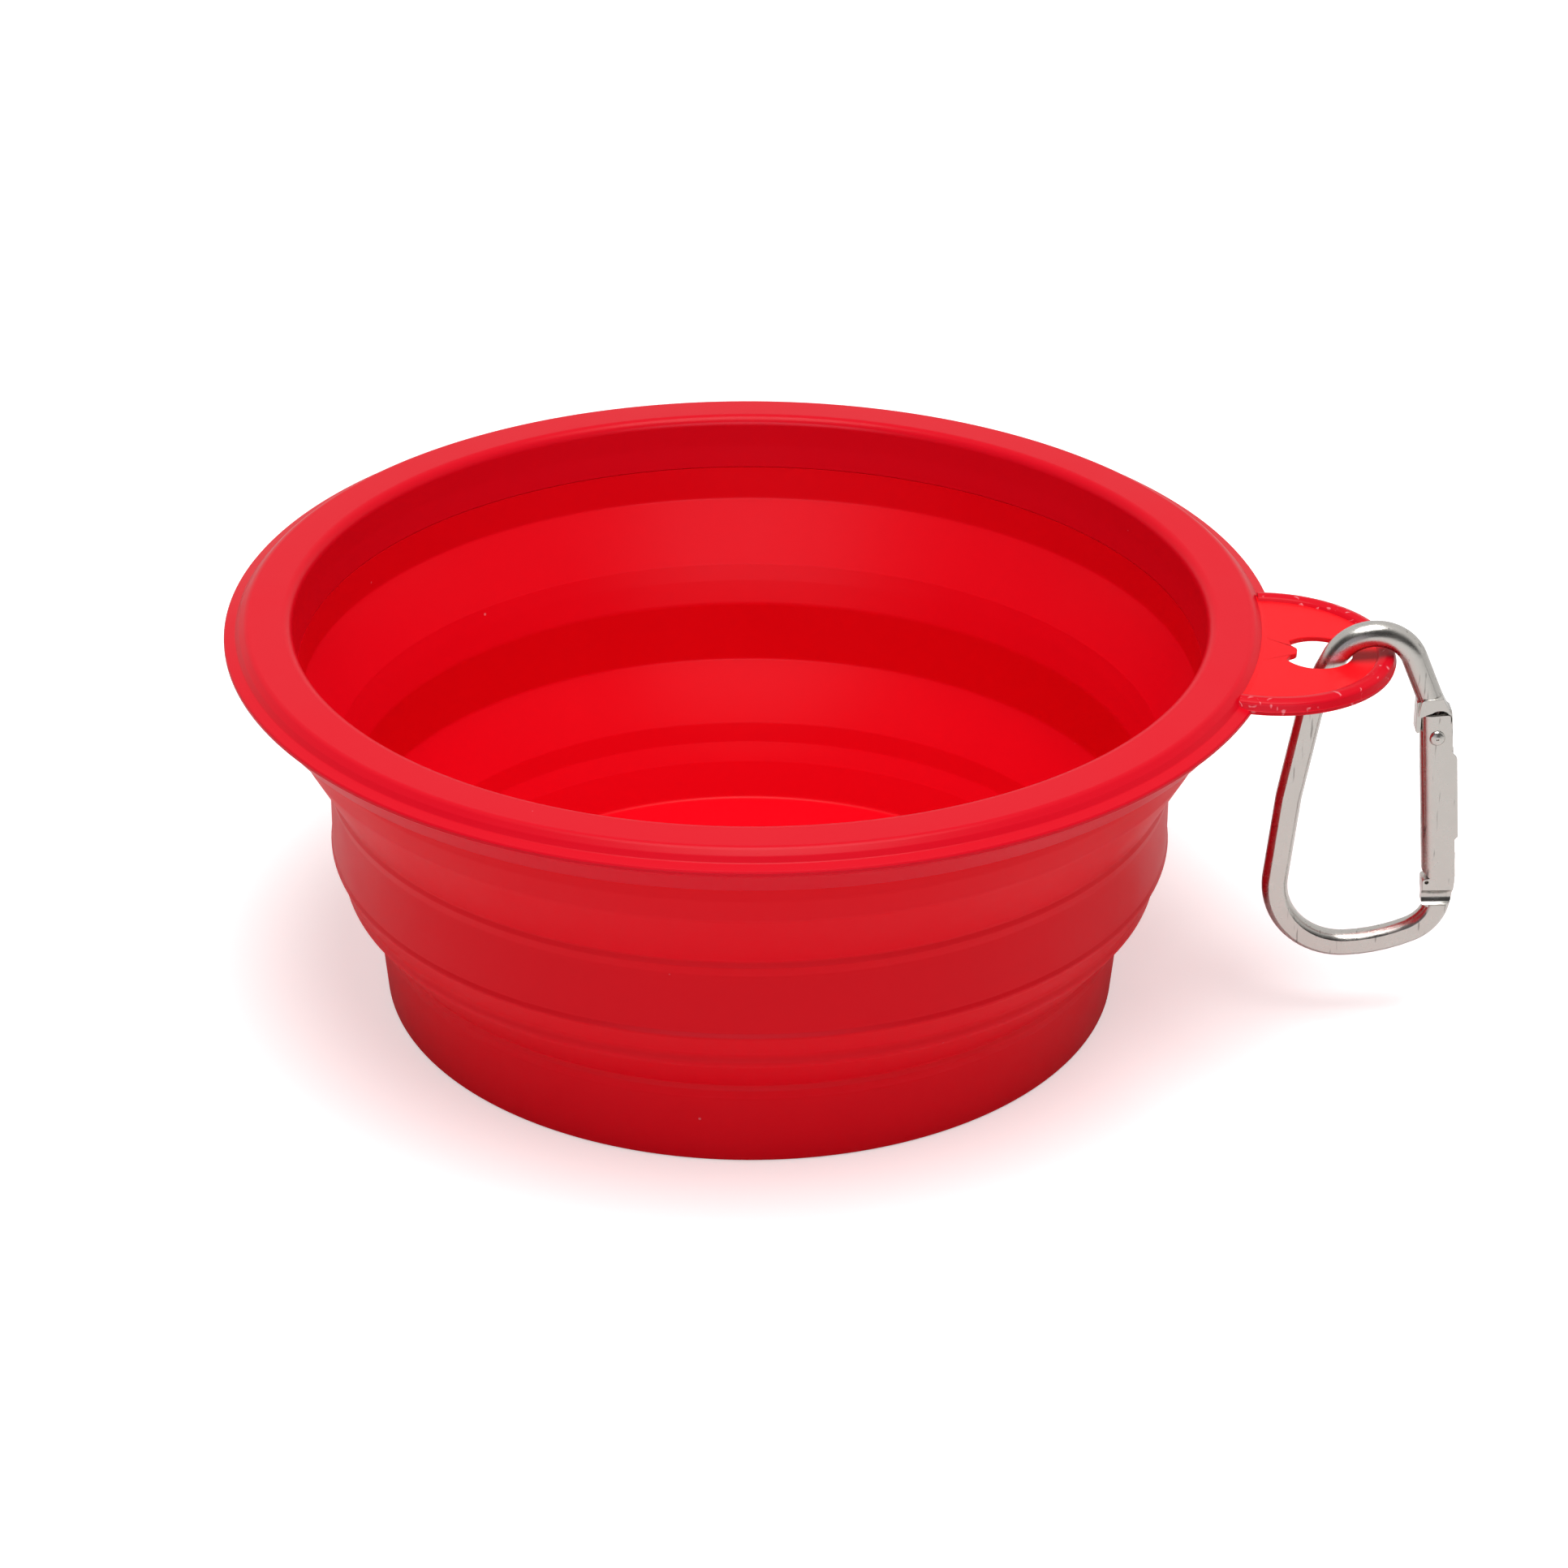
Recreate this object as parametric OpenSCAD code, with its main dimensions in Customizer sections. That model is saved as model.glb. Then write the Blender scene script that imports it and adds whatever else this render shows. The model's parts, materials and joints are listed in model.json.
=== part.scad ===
// Collapsible silicone travel bowl with a stiff plastic rim, a hanging tab and an aluminium carabiner.
// Millimetres. Z is up, the origin is the centre of the base's underside, and the tab points along X.

/* [Bowl] */
// Outside diameter of the rim
rim_d = 130; // [126:0.5:136]
// Height of the base cup
base_h = 11.1; // [10:0.1:12]
// Height of the lower fold
lower_fold_h = 10; // [9.5:0.1:10.5]
// Height of the middle ring
ring_h = 10.2; // [9.5:0.1:11]
// Height of the upper fold
upper_fold_h = 10.3; // [10:0.1:11]
// Height of the upper ring, up to the top of the rim
top_h = 10.65; // [10.2:0.05:11]
// Wall thickness of the folds, where the silicone bends
fold_t = 1.5; // [1.2:0.1:1.8]
// Thickness of the floor
floor_t = 1.5; // [1.2:0.1:2.5]

/* [Tab] */
// Radius of the tab's round end
tab_r = 15.5; // [14.5:0.1:16.5]
// Distance from the rim's edge in to the centre of the tab's round end
tab_inset = 0.8; // [0:0.1:1.5]
// Thickness of the tab's plate
tab_t = 0.7; // [0.5:0.1:0.9]
// Width of the raised bead round the tab
bead_w = 2; // [1.6:0.1:2.4]
// Radius of the tab's hole
hole_r = 4.3; // [4.2:0.1:4.5]

/* [Carabiner] */
// Diameter of the carabiner's rod
rod_d = 3.2; // [2.8:0.1:3.4]
// Thickness of the rod across its two pressed flats
flat_t = 2.7; // [2.4:0.1:3]
// Turn of the carabiner's plane away from the tab's own line, in degrees
yaw = 11; // [0:1:20]
// Radius of the spine's long, gentle curve
spine_r = 167; // [150:1:180]
// Thickness of the folded gate
gate_t = 3.4; // [3.2:0.1:3.8]
// Thickness of the sheet that the gate is folded from
sheet_t = 0.45; // [0.35:0.05:0.5]
// Diameter of the rivet's shank
rivet_d = 1; // [0.8:0.1:1.2]

/* [Hidden] */
$fn = 96;
rod_fn = 32;

// Heights of the bowl's tiers, from the ground up
z_fold_1 = base_h;
z_ring = z_fold_1 + lower_fold_h;
z_fold_2 = z_ring + ring_h;
z_top = z_fold_2 + upper_fold_h;
bowl_h = z_top + top_h;

// Outside radii of the tiers, each far enough inside the next to nest when the bowl is flat
rim_r = rim_d / 2;
top_r = rim_r - 6.8;
ring_r = rim_r - 11.9;
base_r = rim_r - 17.3;
top_in = top_r - 2;
ring_in = ring_r - 2.7;
base_in = base_r - 3.1;

// Rim hoop: the silicone's edge bead sits in its groove, between the inner liner and the skirt
liner_z = bowl_h - 7.2;
skirt_z = bowl_h - 6.1;
groove_z = bowl_h - 2;
groove_in = rim_r - 7.6;
groove_out = rim_r - 5.35;

// Tab, a hand's breadth of plate just under the rim's top
tab_x = rim_r - tab_inset;
tab_z = bowl_h - 0.95 - tab_t;
bead_z = bowl_h - 2.25;
bead_h = 1.9;
hole_x = tab_x + 5.9;
hole_flat_x = hole_x - 3.5;
hole_bump_r = 0.9;
strip_x = rim_r + 12;

// Carabiner: local X runs from the spine to the gate, local Y is up, local Z is across its thickness
arch_r = 5.35;
axis_z = bowl_h - 3.15;
arch_lean = 65;
arch_foot = [arch_r * sin(arch_lean), axis_z + arch_r * cos(arch_lean)];
// Each stretch is [radius, turn] for an arc, to the left when positive, or [0, length] for a straight
spine_path = [[arch_r, arch_lean + 63], [30, 15.9], [spine_r, 8], [9, 95.1], [21.5, 22.3], [5.5, 60.5], [0, 1.2]];
spine_start = [arch_foot.x, arch_foot.y, 180 - arch_lean];
hinge_path = [[80, -4.6]];
hinge_start = [arch_foot.x, arch_foot.y, -arch_lean];
// Every second stretch is a hair slimmer and runs into its neighbours, so that they join soundly
slim = 0.02;
lap = 0.1;
tongue_t = 2.3;
gate_tilt = 4.8;
pivot = [8.2, axis_z - 8.2];
recess_r = 3.75;
// The gate's outline, measured from its pivot: across, then along
gate_in = -1.35;
gate_out = 2.45;
gate_ear = 3;
gate_end = -20;
gate_wall_top = -1.7;
seat_b = -14.1;
spring_r = 0.75;
spring_wire = 0.3;
gap = 0.05;

function turn_by(p, seg) =
    let (r = seg[0], t = seg[1], s = sign(t), h = p[2])
    r == 0
        ? [p[0] + t * cos(h), p[1] + t * sin(h), h]
        : [p[0] + s * r * (sin(h + t) - sin(h)), p[1] - s * r * (cos(h + t) - cos(h)), h + t];

function path_at(path, start, i) =
    i == 0 ? start : turn_by(path_at(path, start, i - 1), path[i - 1]);

// The bowl's tiers, each one turned from its section as [radius, height]
module base_cup() {
    color("#d81226")
        rotate_extrude()
            polygon([
                [0, 0], [base_r - 1.5, 0], [base_r - 1.1, 0.4], [base_r, z_fold_1],
                [base_r - fold_t - 0.3, z_fold_1], [base_in + 0.4, z_fold_1 - 1.9],
                [base_in - 0.4, z_fold_1 - 4], [base_in - 0.8, floor_t + 2.4],
                [base_in - 1.5, floor_t + 0.9], [base_in - 3, floor_t], [0, floor_t]
            ]);
}

module lower_fold() {
    color("#e31b2e")
        rotate_extrude()
            polygon([
                [base_r, z_fold_1], [ring_r - 1.3, z_fold_1 + 5.7], [ring_r - 1.8, z_fold_1 + 6.9],
                [ring_r, z_ring], [ring_in + 0.1, z_ring], [ring_in - 0.1, z_ring - 2],
                [base_r - fold_t, z_fold_1 + 0.9], [base_r - fold_t, z_fold_1]
            ]);
}

module middle_ring() {
    color("#d81226")
        rotate_extrude()
            polygon([
                [ring_r, z_ring], [ring_r - 0.1, z_fold_2], [ring_in + 1.2, z_fold_2],
                [ring_in + 0.8, z_fold_2 - 0.9], [ring_in, z_fold_2 - 3.8], [ring_in, z_ring + 0.8],
                [ring_in + 0.1, z_ring]
            ]);
}

module upper_fold() {
    color("#e31b2e")
        rotate_extrude()
            polygon([
                [ring_r - 0.1, z_fold_2], [ring_r + 0.7, z_fold_2 + 1.3], [top_r - 0.9, z_top - 2],
                [top_r - 0.3, z_top], [top_in, z_top], [top_in - 0.3, z_top - 1.3],
                [ring_r + 0.7 - fold_t, z_fold_2 + 1.9], [ring_r - fold_t, z_fold_2]
            ]);
}

module upper_ring() {
    color("#d81226")
        rotate_extrude()
            polygon([
                [top_r - 0.3, z_top], [top_r, z_top + 1.2], [top_r + 0.4, liner_z],
                [top_r + 0.5, skirt_z - gap], [groove_out - gap, skirt_z + 0.4],
                [groove_out - gap, groove_z - gap], [groove_in + gap, groove_z - gap],
                [groove_in + gap, liner_z - gap], [top_in, liner_z - gap], [top_in, z_top]
            ]);
}

module hoop() {
    rotate_extrude()
        polygon([
            [top_in + 0.1, liner_z], [groove_in, liner_z], [groove_in, groove_z],
            [groove_out, groove_z], [groove_out, skirt_z + 0.3], [rim_r - 3.6, skirt_z],
            [rim_r - 3.1, skirt_z + 0.3], [rim_r - 1.8, bowl_h - 2.4], [rim_r - 0.4, bowl_h - 2.05],
            [rim_r, bowl_h - 1.55], [rim_r - 0.2, bowl_h - 0.95], [rim_r - 0.6, bowl_h - 0.55],
            [rim_r - 1.4, bowl_h - 0.15], [rim_r - 2.3, bowl_h], [rim_r - 7.4, bowl_h],
            [rim_r - 7.9, bowl_h - 0.25], [rim_r - 8.1, bowl_h - 0.9]
        ]);
}

// The hole is round, cut flat on the bowl's side with a small round bump in the middle of the flat
module tab_hole() {
    difference() {
        translate([hole_x, 0, tab_z - 1])
            cylinder(h = 4, r = hole_r, $fn = 64);
        translate([hole_flat_x - 10, -10, tab_z - 2])
            cube([10, 20, 6]);
        translate([hole_flat_x, 0, tab_z - 2])
            cylinder(h = 6, r = hole_bump_r, $fn = 32);
    }
}

module tab() {
    difference() {
        union() {
            translate([tab_x, 0, tab_z])
                cylinder(h = tab_t, r = tab_r - bead_w / 2);
            translate([tab_x, 0, bead_z])
                rotate_extrude()
                    translate([tab_r - bead_w, 0])
                        polygon([
                            [0, 0], [bead_w, 0], [bead_w, bead_h - 0.6], [bead_w - 0.3, bead_h - 0.15],
                            [bead_w / 2, bead_h], [0.3, bead_h - 0.15], [0, bead_h - 0.6]
                        ]);
        }
        translate([0, 0, tab_z - 2])
            cylinder(h = 6, r = rim_r - 1.5);
        tab_hole();
    }
}

module rim_hoop() {
    color("#e0262f") {
        hoop();
        tab();
    }
}

// Sets a shape drawn in the carabiner's own plane in its place on the tab's outer strip
module on_carabiner() {
    translate([strip_x, 0, 0])
        rotate([90, 0, yaw])
            children();
}

module rod_stretch(p, seg, slimmer) {
    r = seg[0];
    t = seg[1];
    side = sign(t);
    d = slimmer ? rod_d - slim : rod_d;
    over = slimmer ? lap : 0;
    if (r == 0)
        translate([p[0], p[1], 0])
            rotate([0, 0, p[2]])
                translate([-over, 0, 0])
                    rotate([0, 90, 0])
                        cylinder(h = t + 2 * over, d = d, $fn = rod_fn);
    else {
        over_turn = over / r * 180 / PI;
        first = side > 0 ? p[2] - 90 : p[2] + 90 + t;
        translate([p[0] - side * r * sin(p[2]), p[1] + side * r * cos(p[2]), 0])
            rotate([0, 0, first - over_turn])
                rotate_extrude(angle = abs(t) + 2 * over_turn)
                    translate([r, 0])
                        circle(d = d, $fn = rod_fn);
    }
}

module rod_along(path, start, first_slim) {
    for (i = [0 : len(path) - 1])
        rod_stretch(path_at(path, start, i), path[i], (i + first_slim) % 2 == 1);
}

// The flats are pressed on the lower part of the rod, and run out to nothing below the arch
module flats() {
    for (side = [-1, 1])
        scale([1, 1, side])
            translate([-20, 0, 0])
                rotate([90, 0, 90])
                    linear_extrude(height = 40)
                        polygon([
                            [0, flat_t / 2], [axis_z - 9, flat_t / 2], [axis_z - 1, rod_d / 2 + gap],
                            [axis_z - 1, rod_d], [0, rod_d]
                        ]);
}

module hinge_end() {
    linear_extrude(height = rod_d, center = true)
        polygon([
            [pivot.x - 2.2, pivot.y + 5.1], [pivot.x + 0.4, pivot.y + 5.4], [pivot.x + 1.5, pivot.y + 3.3],
            [pivot.x + 1.8, pivot.y + 2.8], [pivot.x - 2.55, pivot.y + 2.8]
        ]);
    // Thin finger that shields the top of the gate on the inner side
    linear_extrude(height = 2, center = true)
        polygon([
            [pivot.x - 2.6, pivot.y + 4.6], [pivot.x - 1.9, pivot.y + 4.6], [pivot.x - 1.9, pivot.y + 0.7],
            [pivot.x - 2.25, pivot.y + 0.3], [pivot.x - 2.6, pivot.y + 0.7]
        ]);
    linear_extrude(height = tongue_t, center = true)
        polygon([
            [pivot.x - 1.4, pivot.y + 4], [pivot.x + 1.7, pivot.y + 3.4], [pivot.x + 1.95, pivot.y + 1.5],
            [pivot.x + 2.2, pivot.y - 2.5], [pivot.x + 1.2, pivot.y - 3.6], [pivot.x + 0.9, pivot.y - 1.05],
            [pivot.x - 1.35, pivot.y]
        ]);
    translate([pivot.x, pivot.y, -tongue_t / 2])
        cylinder(h = tongue_t, r = 1.4, $fn = 48);
}

module nose_end(p) {
    // Tongue that the closed gate's channel shuts over
    linear_extrude(height = tongue_t, center = true)
        polygon([
            [p[0] - 1.5, p[1] - 0.6], [p[0] - 1.1, p[1] + 0.5], [p[0] - 1.35, p[1] + 5.9],
            [p[0] + 1.4, p[1] + 6], [p[0] + 1.65, p[1] + 1.5], [p[0] + 1.5, p[1] - 0.6]
        ]);
}

module carabiner_frame() {
    nose = path_at(spine_path, spine_start, len(spine_path));
    color("#c4c2bc")
        on_carabiner()
            difference() {
                union() {
                    rod_along(spine_path, spine_start, 0);
                    rod_along(hinge_path, hinge_start, 1);
                    hinge_end();
                    nose_end(nose);
                }
                flats();
                // Recesses for the gate's ears, and milled grooves across both faces of the nose
                for (side = [-1, 1])
                    translate([0, 0, side * (tongue_t / 2 + 2)]) {
                        translate([pivot.x, pivot.y, 0])
                            cylinder(h = 4, r = recess_r, center = true, $fn = 64);
                        translate([nose[0], nose[1] - 0.9, -side * 1.15])
                            rotate([0, 90, gate_tilt])
                                cylinder(h = 8, r = 1.15, center = true, $fn = 32);
                    }
                translate([pivot.x, pivot.y, 0])
                    cylinder(h = 8, d = rivet_d, center = true, $fn = 32);
            }
}

// Sets a shape drawn along the gate, from its pivot, in its place
module on_gate() {
    on_carabiner()
        translate([pivot.x, pivot.y, 0])
            rotate([0, 0, gate_tilt])
                children();
}

module gate_outline() {
    polygon([
        [gate_in, gate_ear], [1.7, gate_ear], [1.8, -2.2], [gate_out, -3], [gate_out, seat_b],
        [gate_out - 0.4, seat_b - 0.4], [gate_out - 0.4, gate_end], [gate_in + 0.7, gate_end],
        [gate_in, gate_end + 1]
    ]);
}

module carabiner_gate() {
    fold_r = 0.9;
    channel_t = gate_t - 2 * sheet_t;
    color("#bdb9b3")
        on_gate()
            difference() {
                intersection() {
                    linear_extrude(height = gate_t, center = true)
                        gate_outline();
                    // The folded edge is rounded along its whole length
                    union() {
                        translate([gate_in + fold_r, gate_end - 1, -gate_t / 2])
                            cube([6, 30, gate_t]);
                        translate([gate_in, gate_end - 1, fold_r - gate_t / 2])
                            cube([6, 30, gate_t - 2 * fold_r]);
                        for (side = [-1, 1])
                            translate([gate_in + fold_r, gate_end - 1, side * (gate_t / 2 - fold_r)])
                                rotate([-90, 0, 0])
                                    cylinder(h = 30, r = fold_r, $fn = 32);
                    }
                }
                // The channel is open outwards, and above its wall the two ears stand alone
                difference() {
                    translate([gate_in + sheet_t, gate_end - 1, -channel_t / 2])
                        cube([6, 30, channel_t]);
                    translate([gate_in, seat_b - 0.6, -channel_t / 2])
                        cube([gate_out - gate_in - 0.8, 0.6, channel_t]);
                }
                translate([gate_in - 1, gate_wall_top, -channel_t / 2])
                    cube([6, 8, channel_t]);
                cylinder(h = 8, d = rivet_d + 2 * gap, center = true, $fn = 32);
            }
}

module gate_rivet() {
    head_r = rivet_d / 2 + 0.45;
    head_z = gate_t / 2 + gap;
    color("#cfccc6")
        on_gate()
            rotate_extrude($fn = 32)
                polygon([
                    [0, -head_z - 0.45], [head_r / 2, -head_z - 0.4], [head_r - 0.2, -head_z - 0.25],
                    [head_r, -head_z], [rivet_d / 2, -head_z], [rivet_d / 2, head_z], [head_r, head_z],
                    [head_r - 0.2, head_z + 0.25], [head_r / 2, head_z + 0.4], [0, head_z + 0.45]
                ]);
}

module gate_spring() {
    color("#8f9194")
        on_gate()
            translate([gate_in + sheet_t + spring_r + gap, seat_b, 0])
                rotate([-90, 0, 0])
                    difference() {
                        cylinder(h = gate_wall_top - seat_b, r = spring_r, $fn = 32);
                        translate([0, 0, -1])
                            cylinder(h = 20, r = spring_r - spring_wire, $fn = 32);
                    }
}

base_cup();
lower_fold();
middle_ring();
upper_fold();
upper_ring();
rim_hoop();
carabiner_frame();
carabiner_gate();
gate_rivet();
gate_spring();
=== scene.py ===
"""Collapsible silicone travel bowl with a stiff rim, a hanging tab and a snap-gate carabiner.

Every piece is modelled at its real size round the fixed frame of the bowl. X points out along
the tab, Z is up and the origin is the centre of the underside.
"""

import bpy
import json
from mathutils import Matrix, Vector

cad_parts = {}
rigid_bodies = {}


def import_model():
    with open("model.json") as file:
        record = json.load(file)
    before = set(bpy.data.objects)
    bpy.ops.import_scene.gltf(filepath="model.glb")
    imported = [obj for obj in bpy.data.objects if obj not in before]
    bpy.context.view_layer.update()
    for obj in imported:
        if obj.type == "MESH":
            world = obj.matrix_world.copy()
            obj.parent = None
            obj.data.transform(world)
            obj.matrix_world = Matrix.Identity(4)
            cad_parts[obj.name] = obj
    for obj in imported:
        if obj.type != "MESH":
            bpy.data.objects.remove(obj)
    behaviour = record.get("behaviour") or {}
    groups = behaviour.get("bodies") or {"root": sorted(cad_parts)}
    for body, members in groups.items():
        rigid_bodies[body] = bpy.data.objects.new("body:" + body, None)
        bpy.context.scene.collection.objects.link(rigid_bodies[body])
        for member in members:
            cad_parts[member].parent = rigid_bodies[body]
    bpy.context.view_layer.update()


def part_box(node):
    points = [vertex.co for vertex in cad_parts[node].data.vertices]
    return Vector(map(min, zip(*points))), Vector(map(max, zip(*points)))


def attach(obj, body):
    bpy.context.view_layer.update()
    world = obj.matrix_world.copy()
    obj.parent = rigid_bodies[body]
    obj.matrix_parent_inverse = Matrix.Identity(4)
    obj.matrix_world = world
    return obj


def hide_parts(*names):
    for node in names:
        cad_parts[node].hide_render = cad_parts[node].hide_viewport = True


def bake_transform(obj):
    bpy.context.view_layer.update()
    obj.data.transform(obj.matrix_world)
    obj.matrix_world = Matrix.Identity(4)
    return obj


bl_info = {
    "name": "Collapsible Travel Bowl",
    "version": (1, 0, 0),
    "blender": (4, 5, 0),
    "location": "3D Viewport > Sidebar > Travel Bowl",
    "description": "Models a collapsible silicone bowl with its rim, hanging tab and carabiner",
    "category": "Add Mesh",
}

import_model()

import json
import math

import bmesh
import bpy
from bpy.props import FloatProperty, FloatVectorProperty, PointerProperty
from mathutils import Matrix, Vector

MM = 0.001
FULL_TURN = 2 * math.pi
# Points closer to each other than this are one point
WELD = 1e-6
# Reach of a cutter, well past both faces of the carabiner
THROUGH = 4 * MM


def linear(code):
    """Turns an sRGB hex code into linear red, green, blue and alpha."""
    parts = [int(code[i:i + 2], 16) / 255 for i in (1, 3, 5)]
    return tuple(c / 12.92 if c <= 0.04045 else ((c + 0.055) / 1.055) ** 2.4 for c in parts) + (1.0,)


# Sizes and colours that a user would change


class BowlSizes(bpy.types.PropertyGroup):
    """Driving sizes of the bowl and the tab."""

    rim_radius: FloatProperty(
        name="Rim Radius", description="Outside radius of the rim hoop",
        default=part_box("rim_hoop")[1].y, unit="LENGTH")
    rim_top: FloatProperty(
        name="Rim Top", description="Height of the rim's flat top above the ground",
        default=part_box("rim_hoop")[1].z, unit="LENGTH")
    base_radius: FloatProperty(
        name="Base Radius", description="Outside radius of the base cup at its upper edge",
        default=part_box("base_cup")[1].y, unit="LENGTH")
    base_top: FloatProperty(
        name="Base Top", description="Height where the base cup ends and the lower fold begins",
        default=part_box("base_cup")[1].z, unit="LENGTH")
    ring_radius: FloatProperty(
        name="Ring Radius", description="Outside radius of the middle ring",
        default=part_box("middle_ring")[1].y, unit="LENGTH")
    ring_bottom: FloatProperty(
        name="Ring Bottom", description="Height of the middle ring's lower edge",
        default=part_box("middle_ring")[0].z, unit="LENGTH")
    ring_top: FloatProperty(
        name="Ring Top", description="Height of the middle ring's upper edge",
        default=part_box("middle_ring")[1].z, unit="LENGTH")
    fold_top: FloatProperty(
        name="Upper Fold Top", description="Height where the upper fold meets the upper ring",
        default=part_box("upper_fold")[1].z, unit="LENGTH")
    tab_tip: FloatProperty(
        name="Tab Tip", description="Distance from the bowl's axis to the tip of the hanging tab",
        default=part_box("rim_hoop")[1].x, unit="LENGTH")
    tab_radius: FloatProperty(
        name="Tab Radius", description="Radius of the tab's round end",
        default=15.5 * MM, unit="LENGTH")


class CarabinerSizes(bpy.types.PropertyGroup):
    """Driving sizes of the carabiner."""

    rod: FloatProperty(
        name="Rod Diameter", description="Diameter of the bent rod",
        default=3.2 * MM, unit="LENGTH")
    flats: FloatProperty(
        name="Across Flats", description="Thickness of the rod across its two pressed flats",
        default=2.7 * MM, unit="LENGTH")
    spine: FloatProperty(
        name="Spine Curve", description="Radius of the spine's long, gentle curve",
        default=167 * MM, unit="LENGTH")
    yaw: FloatProperty(
        name="Yaw", description="Turn of the carabiner's plane away from the tab's line",
        default=math.radians(11), subtype="ANGLE")
    sheet: FloatProperty(
        name="Sheet", description="Thickness of the sheet that the gate is folded from",
        default=0.45 * MM, unit="LENGTH")


class BowlColours(bpy.types.PropertyGroup):
    """Colours of the four finishes."""

    silicone: FloatVectorProperty(
        name="Silicone", description="Colour of the silicone moulding",
        subtype="COLOR", size=4, default=linear("#EC041A"), min=0, max=1)
    rim: FloatVectorProperty(
        name="Rim Plastic", description="Colour of the rim hoop and its tab",
        subtype="COLOR", size=4, default=linear("#E00B22"), min=0, max=1)
    # Painted light: the plate is the rim's plastic in a brighter colour that stands in for the light shining
    # through its thin sheet
    plate: FloatVectorProperty(
        name="Tab Plate Painted Glow", description="Colour of the tab's thin plate, which lets light through",
        subtype="COLOR", size=4, default=linear("#F8141E"), min=0, max=1)
    aluminium: FloatVectorProperty(
        name="Aluminium", description="Colour of the bare aluminium",
        subtype="COLOR", size=4, default=linear("#CCC8C2"), min=0, max=1)
    spring: FloatVectorProperty(
        name="Spring Steel", description="Colour of the spring's wire",
        subtype="COLOR", size=4, default=linear("#A2A3A6"), min=0, max=1)


# Modelling helpers


def begin():
    """Leaves edit mode and selects nothing."""
    if bpy.context.object and bpy.context.object.mode != "OBJECT":
        bpy.ops.object.mode_set(mode="OBJECT")
    bpy.ops.object.select_all(action="DESELECT")


def round_corners(corners, closed=False):
    """Rounds each corner (across, up, radius) of an outline into an arc of short steps."""
    count = len(corners)
    line = []
    for i, (across, up, radius) in enumerate(corners):
        here = Vector((across, up))
        if radius == 0 or (not closed and i in (0, count - 1)):
            line.append(here)
            continue
        back = Vector(corners[i - 1][:2]) - here
        ahead = Vector(corners[(i + 1) % count][:2]) - here
        opening = back.angle(ahead)
        reach = min(radius / math.tan(opening / 2), 0.48 * back.length, 0.48 * ahead.length)
        radius = reach * math.tan(opening / 2)
        middle = here + (back.normalized() + ahead.normalized()).normalized() * (
            radius / math.sin(opening / 2))
        start = here + back.normalized() * reach - middle
        end = here + ahead.normalized() * reach - middle
        turn = math.atan2(start.x * end.y - start.y * end.x, start.dot(end))
        steps = max(2, math.ceil(abs(turn) / math.radians(7)))
        for k in range(steps + 1):
            line.append(middle + Matrix.Rotation(turn * k / steps, 2) @ start)
    return line


def between(line, low, high):
    """The stretch of a rising line from one height to another, with its ends cut level."""
    part = []
    for a, b in zip(line, line[1:]):
        for level in (low, high):
            if a.y < level < b.y:
                part.append(a.lerp(b, (level - a.y) / (b.y - a.y)))
        if low <= b.y <= high:
            part.append(b.copy())
    part.sort(key=lambda p: p.y)
    return part


def resample(line, count):
    """Spaces a closed outline's points evenly along it."""
    ring = [*line, line[0]]
    lengths = [(b - a).length for a, b in zip(ring, ring[1:])]
    total = sum(lengths)
    spaced = []
    for k in range(count):
        left = total * k / count
        i = 0
        while left > lengths[i]:
            left -= lengths[i]
            i += 1
        spaced.append(ring[i].lerp(ring[i + 1], left / lengths[i]))
    return spaced


def trace(points, closed):
    """Draws a line by extruding one vertex from point to point."""
    bpy.ops.mesh.primitive_plane_add(size=MM)
    if bpy.context.object.mode != "EDIT":
        bpy.ops.object.mode_set(mode="EDIT")
    bpy.ops.mesh.merge(type="CENTER")
    bpy.ops.transform.translate(value=points[0])
    for a, b in zip(points, points[1:]):
        bpy.ops.mesh.extrude_vertices_move(TRANSFORM_OT_translate={"value": b - a})
    if closed:
        select_near([points[0], points[-1]])
        bpy.ops.mesh.edge_face_add()


def select_near(points, reach=1e-7):
    """Selects only the vertices that lie on the given points."""
    bpy.ops.mesh.select_all(action="DESELECT")
    bpy.ops.mesh.select_mode(type="VERT")
    mesh = bmesh.from_edit_mesh(bpy.context.object.data)
    for vertex in mesh.verts:
        vertex.select = any((vertex.co - p).length < reach for p in points)
    mesh.select_flush(True)
    bmesh.update_edit_mesh(bpy.context.object.data)


def tidy_surface():
    """Merges doubles, turns every face outwards and leaves edit mode."""
    bpy.ops.mesh.select_all(action="SELECT")
    bpy.ops.mesh.remove_doubles(threshold=WELD)
    bpy.ops.mesh.normals_make_consistent(inside=False)
    bpy.ops.object.mode_set(mode="OBJECT")
    return bpy.context.object


def upright(line):
    """Stands a line of (across, up) points on the bowl's X and Z axes."""
    return [Vector((p.x, 0, p.y)) for p in line]


def spin(angle, steps, centre=(0, 0, 0), axis=(0, 0, 1)):
    """Spins the selection counter-clockwise about an axis (the operator itself turns clockwise)."""
    bpy.ops.mesh.spin(steps=steps, angle=-angle, center=centre, axis=axis)


def revolve(section, closed, steps=192):
    """Turns a section round the Z axis into a closed shell."""
    begin()
    trace(upright(section), closed)
    bpy.ops.mesh.select_all(action="SELECT")
    spin(FULL_TURN, steps)
    return tidy_surface()


def sweep(section, half_turn, steps):
    """Spins a filled section about the Z axis, as far to each side of the X axis."""
    begin()
    start = Matrix.Rotation(-half_turn, 3, "Z")
    trace([start @ p for p in upright(section)], closed=True)
    bpy.ops.mesh.select_all(action="SELECT")
    bpy.ops.mesh.edge_face_add()
    spin(2 * half_turn, steps)


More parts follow.
